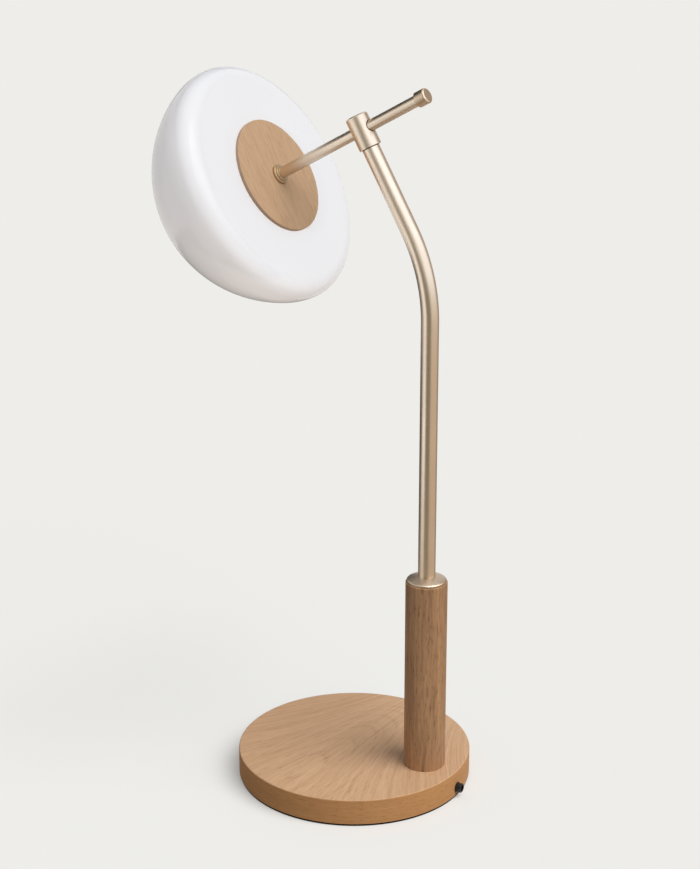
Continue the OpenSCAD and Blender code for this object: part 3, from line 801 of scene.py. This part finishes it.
# %% Globe
GLOBE_R, SHOULDER_R, DOME, GLASS, GLASS_BACK = 101.0, 14.0, 84.0, 3.0, 91.6
side_r = 0.52 * DOME
side_x = GLOBE_R - side_r
front_r = (side_x**2 + DOME**2 - side_r**2) / (2 * (DOME - side_r))
widest = GLASS_BACK + SHOULDER_R
meet = math.degrees(math.atan2(front_r - DOME, side_x))


def bowl(skin):
    front_h = widest + DOME - front_r
    points = arc(GLOBE_R - SHOULDER_R, widest, SHOULDER_R - skin, -90, 0, 14)
    points += arc(side_x, widest, side_r - skin, 0, meet, 10)[1:]
    return points + arc(0, front_h, front_r - skin, meet, 90, 28)[1:]


lip = arc(41.5, GLASS_BACK + GLASS / 2, GLASS / 2, 90, 270, 8)
globe = turned("globe_opal", bowl(0.0) + bowl(GLASS)[::-1] + lip + bowl(0.0)[:1], 144)
put(globe, TEE, ARM_TILT)
finish_piece(globe, "glass_globe", "arm", "opal_glass", opal, smooth=40)

# %% [markdown]
# ## The studio
# A wide pale floor, one large soft light from the upper right, and an even sky. The sun lamp lights
# the floor equally everywhere, so the background stays plain, and its wide angle makes soft shadows.
# In a big white room a shadow also fades with distance, because light comes back from all sides.
# Here the floor glows a little instead: less at the lamp's foot, where the shadow is wanted, and more
# further out. From below the floor is clear, so the foot pad can be seen. The sun lamp would burn out in
# the brass, so reflections don't see it, and a board takes its place there. Only the collar and the
# arm's ends, which are small and face many ways, get its gloss back from lamps of their own.

# %% Floor
PALE = (0.855, 0.847, 0.815, 1.0)
BOUNCE = (0.36, 0.33, 0.295, 1.0)
NEAR, FAR, NEAR_GLOW, FAR_GLOW = 0.12, 0.42, 0.3, 0.85
bpy.ops.object.select_all(action="DESELECT")
bpy.ops.mesh.primitive_plane_add(size=60)
floor = bpy.context.object
floor.name = floor.data.name = "studio_floor"
floor_paint, tree, shader = new_material("floor_paint")


def seen_directly(tree):
    rays = tree.nodes.new("ShaderNodeLightPath").outputs
    seen = math_node(tree, "MAXIMUM", rays["Is Camera Ray"], rays["Is Glossy Ray"])
    return math_node(tree, "MAXIMUM", seen, rays["Is Transmission Ray"])


seen = seen_directly(tree)
tree.links.new(mixed(tree, seen, BOUNCE, PALE), shader.inputs["Base Color"])
shader.inputs["Roughness"].default_value = 0.9
shader.inputs["Specular IOR Level"].default_value = 0.0
glow = add_node(tree, "ShaderNodeEmission", {"Color": PALE}).outputs[0]
place = object_place(tree)
away = add_node(tree, "ShaderNodeVectorMath", {0: place}, operation="LENGTH").outputs["Value"]
share = math_node(tree, "MULTIPLY", seen, remap(tree, away, NEAR, FAR, NEAR_GLOW, FAR_GLOW))
lifted = add_node(tree, "ShaderNodeMixShader", {0: share, 1: shader.outputs["BSDF"], 2: glow}).outputs[0]
below = tree.nodes.new("ShaderNodeNewGeometry").outputs["Backfacing"]
clear = tree.nodes.new("ShaderNodeBsdfTransparent").outputs[0]
surface = add_node(tree, "ShaderNodeMixShader", {0: below, 1: lifted, 2: clear}).outputs[0]
tree.links.new(surface, tree.nodes["Material Output"].inputs["Surface"])
floor_paint.cycles.emission_sampling = "NONE"
floor.data.materials.append(floor_paint)
print("floor glow goes from", NEAR_GLOW, "to", FAR_GLOW)

# %% Key light and sky
to_right = Vector((-0.491, 0.871, 0.0))
to_camera = Vector((0.871, 0.491, 0.0))
key_way = 0.47 * to_right + 0.38 * to_camera + Vector((0.0, 0.0, 0.8))
KEY_ANGLE, KEY_POWER, COLLAR_POWER = 48, 2.75, 5.5


def add_sun(way, energy, angle):
    bpy.ops.object.light_add(type="SUN", rotation=way.to_track_quat("Z", "Y").to_euler())
    lamp = bpy.context.object
    lamp.data.energy = energy
    lamp.data.angle = math.radians(angle)
    return lamp


key = add_sun(key_way, KEY_POWER, KEY_ANGLE)
key.visible_glossy = False


def add_gloss(name, energy, *pieces):
    lit = bpy.data.collections.new(name)
    for piece in pieces:
        lit.objects.link(piece)
    lamp = add_sun(key_way, energy, KEY_ANGLE)
    lamp.visible_diffuse = False
    lamp.light_linking.receiver_collection = lit


add_gloss("arm_ends", KEY_POWER, cap, flange)
add_gloss("collar_only", COLLAR_POWER, collar)
world = bpy.data.worlds.new("studio_sky")
bpy.context.scene.world = world
world.use_nodes = True
sky = world.node_tree
sky.nodes.clear()
color = mixed(sky, seen_directly(sky), (0.29, 0.3, 0.32, 1.0), PALE)
background = add_node(sky, "ShaderNodeBackground", {"Color": color})
output = sky.nodes.new("ShaderNodeOutputWorld")
sky.links.new(background.outputs[0], output.inputs["Surface"])
bpy.context.scene.view_settings.view_transform = "Standard"
print("key light at", KEY_ANGLE, "degrees wide")

# %% [markdown]
# Opal glass passes light on inside its milky wall, so its shaded side is never as dark as paint would
# be, and its bright side never as hard. Following light through such glass takes long paths and leaves
# noise. Here wide lamps that light nothing but the globe stand in for it: a key with less strength, a
# weak lamp from the floor's side, and four round the wall. They throw no shadow. One long narrow lamp
# that only the gloss sees draws the streak on the shoulder.

# %% Light in the opal glass
side_way = Vector((1.0, 0.0, 0.0))
floor_way = Vector((0.0, 0.9, -0.44))
WHITE, CREAM, BUFF = (1.0, 1.0, 1.0), (1.0, 0.94, 0.91), (1.0, 0.89, 0.79)
opal_only = bpy.data.collections.new("opal_only")
all_others = bpy.data.collections.new("all_others")
opal_only.objects.link(globe)
all_others.objects.link(globe)
all_others.collection_objects[0].light_linking.link_state = "EXCLUDE"
key.light_linking.receiver_collection = all_others


def round_the_wall(turn, tip):
    return Matrix.Rotation(math.radians(turn), 3, arm_way) @ side_way + tip * arm_way


def add_globe_sun(way, energy, color, angle=40, glossy=False):
    lamp = add_sun(way, energy, angle)
    lamp.data.color = color
    lamp.data.use_shadow = False
    lamp.visible_glossy = glossy
    lamp.light_linking.receiver_collection = opal_only


add_globe_sun(key_way, 2.3, WHITE, KEY_ANGLE, glossy=True)
add_globe_sun(floor_way, 0.6, WHITE)
add_globe_sun(arm_way - 1.4 * side_way, 0.6, WHITE)
add_globe_sun(round_the_wall(-70, 0.0), 0.8, BUFF)
add_globe_sun(round_the_wall(0, 0.1), 0.93, CREAM)
add_globe_sun(round_the_wall(70, 0.0), 0.1, WHITE)

shoulder = Vector((98.0, -82.0, 521.0)) * MM
glint_way = (0.83 * to_camera - 0.22 * to_right + Vector((0.0, 0.0, 0.5))).normalized()
bpy.ops.object.light_add(
    type="AREA", location=shoulder + glint_way, rotation=glint_way.to_track_quat("Z", "Y").to_euler()
)
glint = bpy.context.object
glint.data.shape = "RECTANGLE"
glint.data.size, glint.data.size_y = 1.0, 0.1
glint.data.energy = 0.35
glint.visible_camera = False
glint.visible_diffuse = False
glint.light_linking.receiver_collection = opal_only

# %% [markdown]
# Satin metal shows only what stands round it, and in an even white room it would look flat. A
# photographer puts dark and bright boards round the lamp, out of the picture, and the metal gets its
# bands from them. Here the boards are curved walls: dark ones behind and to the left, warm ones in
# front and to the right, bright strips above these, the highest one in the way of the sun lamp, and a
# warm board on the floor. Only reflections see them, so they throw no shadow and no soft light.

# %% Boards for the reflections
BOARD_R = 450
CAMERA_TURN = 29.4


def board(name, outline, start, stop, color):
    """A curved board round the lamp; angles in degrees to the right of the camera's direction."""
    piece = turned(name, outline, 48, math.radians(stop - start))
    piece.location = (0.0, 0.04, 0.0)
    piece.rotation_euler = (0.0, 0.0, math.radians(CAMERA_TURN + stop))
    material, tree, shader = new_material(name)
    glow = add_node(tree, "ShaderNodeEmission", {"Color": (*color, 1.0)})
    tree.nodes.remove(shader)
    tree.links.new(glow.outputs[0], tree.nodes["Material Output"].inputs["Surface"])
    material.cycles.emission_sampling = "NONE"
    piece.data.materials.append(material)
    piece.visible_camera = False
    piece.visible_diffuse = False
    piece.visible_transmission = False
    piece.visible_shadow = False


DARK, WARM, BRIGHT = (0.10, 0.10, 0.095), (0.65, 0.53, 0.42), (1.25, 1.22, 1.24)
WALLS = (
    ("board_front", 0, 450, -42, 16, (0.24, 0.21, 0.155)),
    ("board_front_high", 450, 900, -42, -10, (0.38, 0.36, 0.315)),
    ("board_right", 0, 300, 16, 112, WARM),
    ("board_right_mid", 300, 400, 16, 112, (0.80, 0.72, 0.63)),
    ("board_right_back", 0, 400, 112, 150, (0.30, 0.26, 0.21)),
    ("board_right_high", 400, 900, 104, 150, (0.46, 0.41, 0.37)),
    ("board_back", 0, 600, 182, 215, DARK),
    ("board_left", 0, 310, 215, 266, DARK),
    ("board_above", 680, 1100, 185, 270, (0.05, 0.05, 0.05)),
    ("strip_left", 130, 330, 285, 318, BRIGHT),
    ("strip_high", 330, 680, 248, 299, BRIGHT),
    ("strip_turn", 520, 680, 299, 308, BRIGHT),
    ("strip_right", 430, 660, 16, 98, (1.2, 1.22, 1.3)),
    ("strip_right_high", 660, 880, 5, 88, (1.62, 1.68, 1.85)),
    ("strip_key", 880, 1500, 5, 98, (1.4, 1.48, 1.66)),
)
for name, low, high, start, stop, color in WALLS:
    board(name, [(BOARD_R, low), (BOARD_R, high)], start, stop, color)
board("board_below", [(130, 1), (440, 1)], 0, 360, (0.455, 0.35, 0.275))
print("boards:", len(WALLS) + 1)
